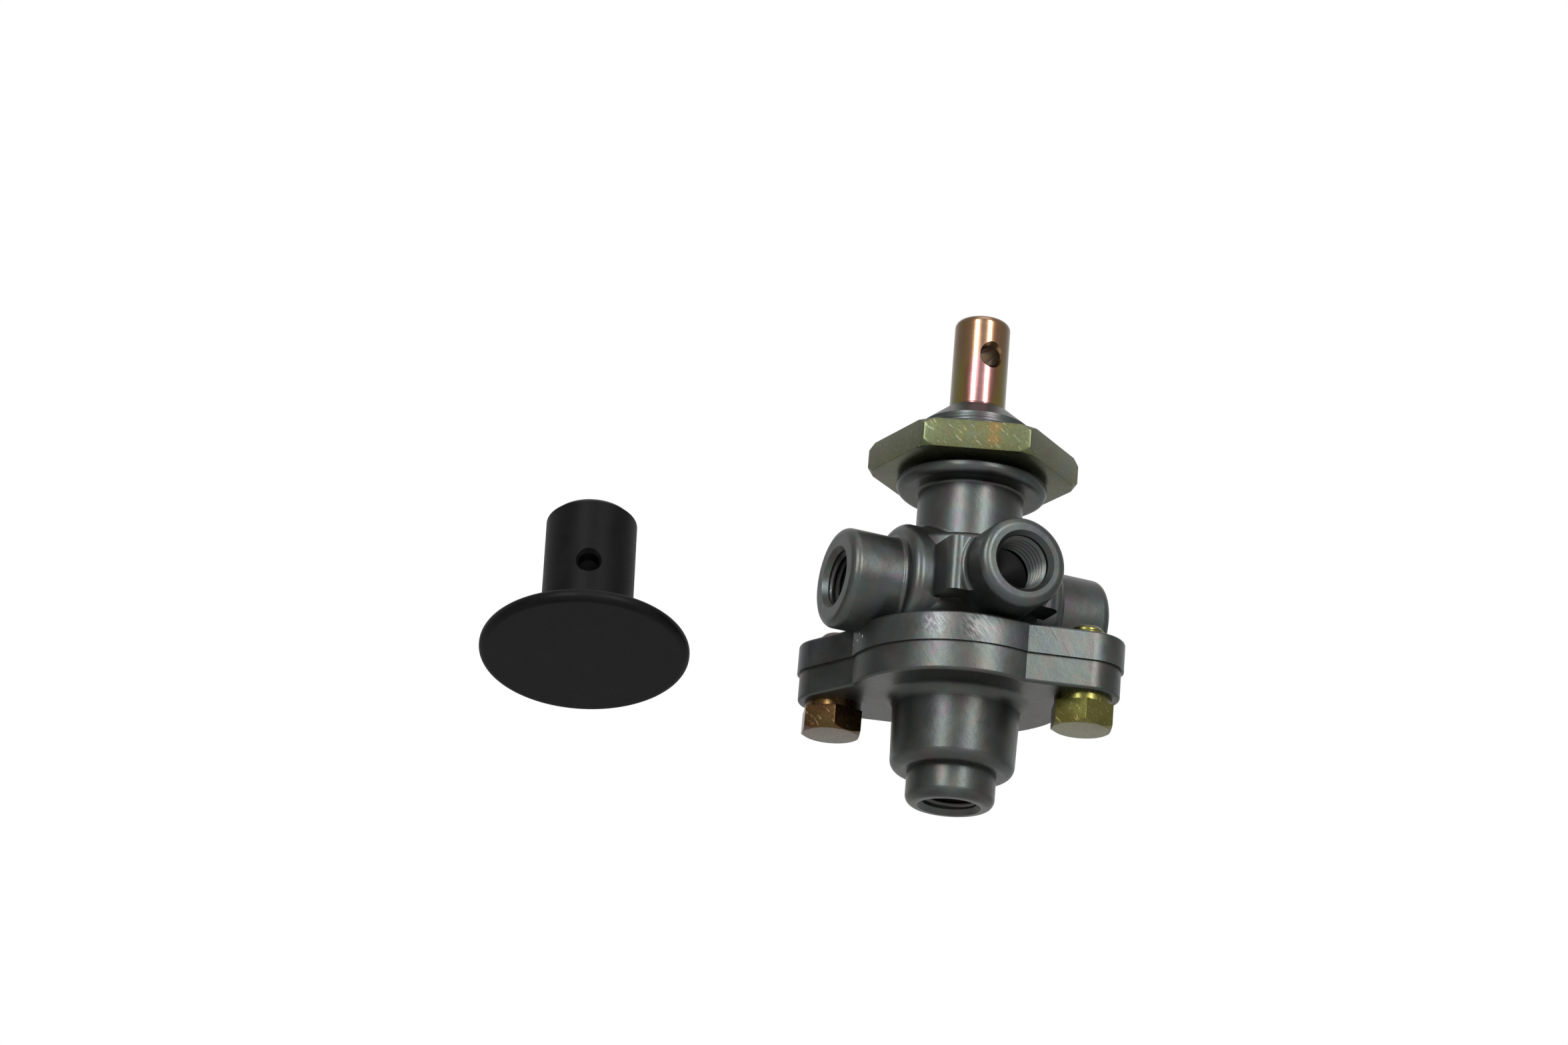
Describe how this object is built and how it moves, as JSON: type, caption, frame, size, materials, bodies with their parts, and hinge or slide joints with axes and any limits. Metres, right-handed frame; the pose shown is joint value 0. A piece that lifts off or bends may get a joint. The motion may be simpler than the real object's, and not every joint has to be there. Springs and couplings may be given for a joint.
{
  "type": "air brake dash control valve",
  "caption": "Push-pull air brake valve for a dash panel: cast body with tapped side and bottom ports, panel nut and plated plunger, with its round knob taken off beside it.",
  "frame": {"origin": "centre of the collar's upper face, which seats on the back of the dash panel", "axes": "+Z along the plunger towards its free end, -Y along the front side port, -X and +X along the other two side ports"},
  "size_m": [0.1327, 0.0835, 0.1152],
  "materials": {
    "body_casting": "as cast, dull satin",
    "cover_casting": "as cast, dull satin",
    "seal_rubber": "matte",
    "plated_plunger": "iridescent yellow zinc plating",
    "guide_brass": "turned",
    "spring_steel": "drawn wire",
    "inner_steel": "plain",
    "plated_nut": "olive yellow zinc plating",
    "plated_screw_olive": "yellow zinc plating",
    "plated_screw_copper": "brown yellow zinc plating",
    "knob_plastic": "moulded black satin"
  },
  "bodies": {
    "valve": {"valve_body": "body_casting", "lower_cover": "cover_casting", "cover_seal_ring": "seal_rubber", "plunger_guide": "guide_brass", "plunger_o_ring": "seal_rubber", "guide_upper_o_ring": "seal_rubber", "guide_lower_o_ring": "seal_rubber", "plunger_spring": "spring_steel", "spring_washer": "spring_steel", "panel_nut": "plated_nut", "right_cap_screw": "plated_screw_olive", "left_cap_screw": "plated_screw_copper", "right_lock_washer": "plated_screw_olive", "left_lock_washer": "plated_screw_copper", "knob": "knob_plastic"},
    "plunger": {"plunger": "plated_plunger", "inlet_exhaust_valve": "seal_rubber", "valve_upper_washer": "inner_steel", "valve_lower_washer": "inner_steel", "plunger_lock_nut": "inner_steel"}
  },
  "joints": [
    {"name": "plunger_slide", "type": "slide", "parent": "valve", "child": "plunger", "axis": [0, 0, 1], "range_m": [-0.007, 0], "stiffness_N_per_m": 2500, "springref_m": 0.0005, "deforming": ["plunger_spring"]}
  ]
}
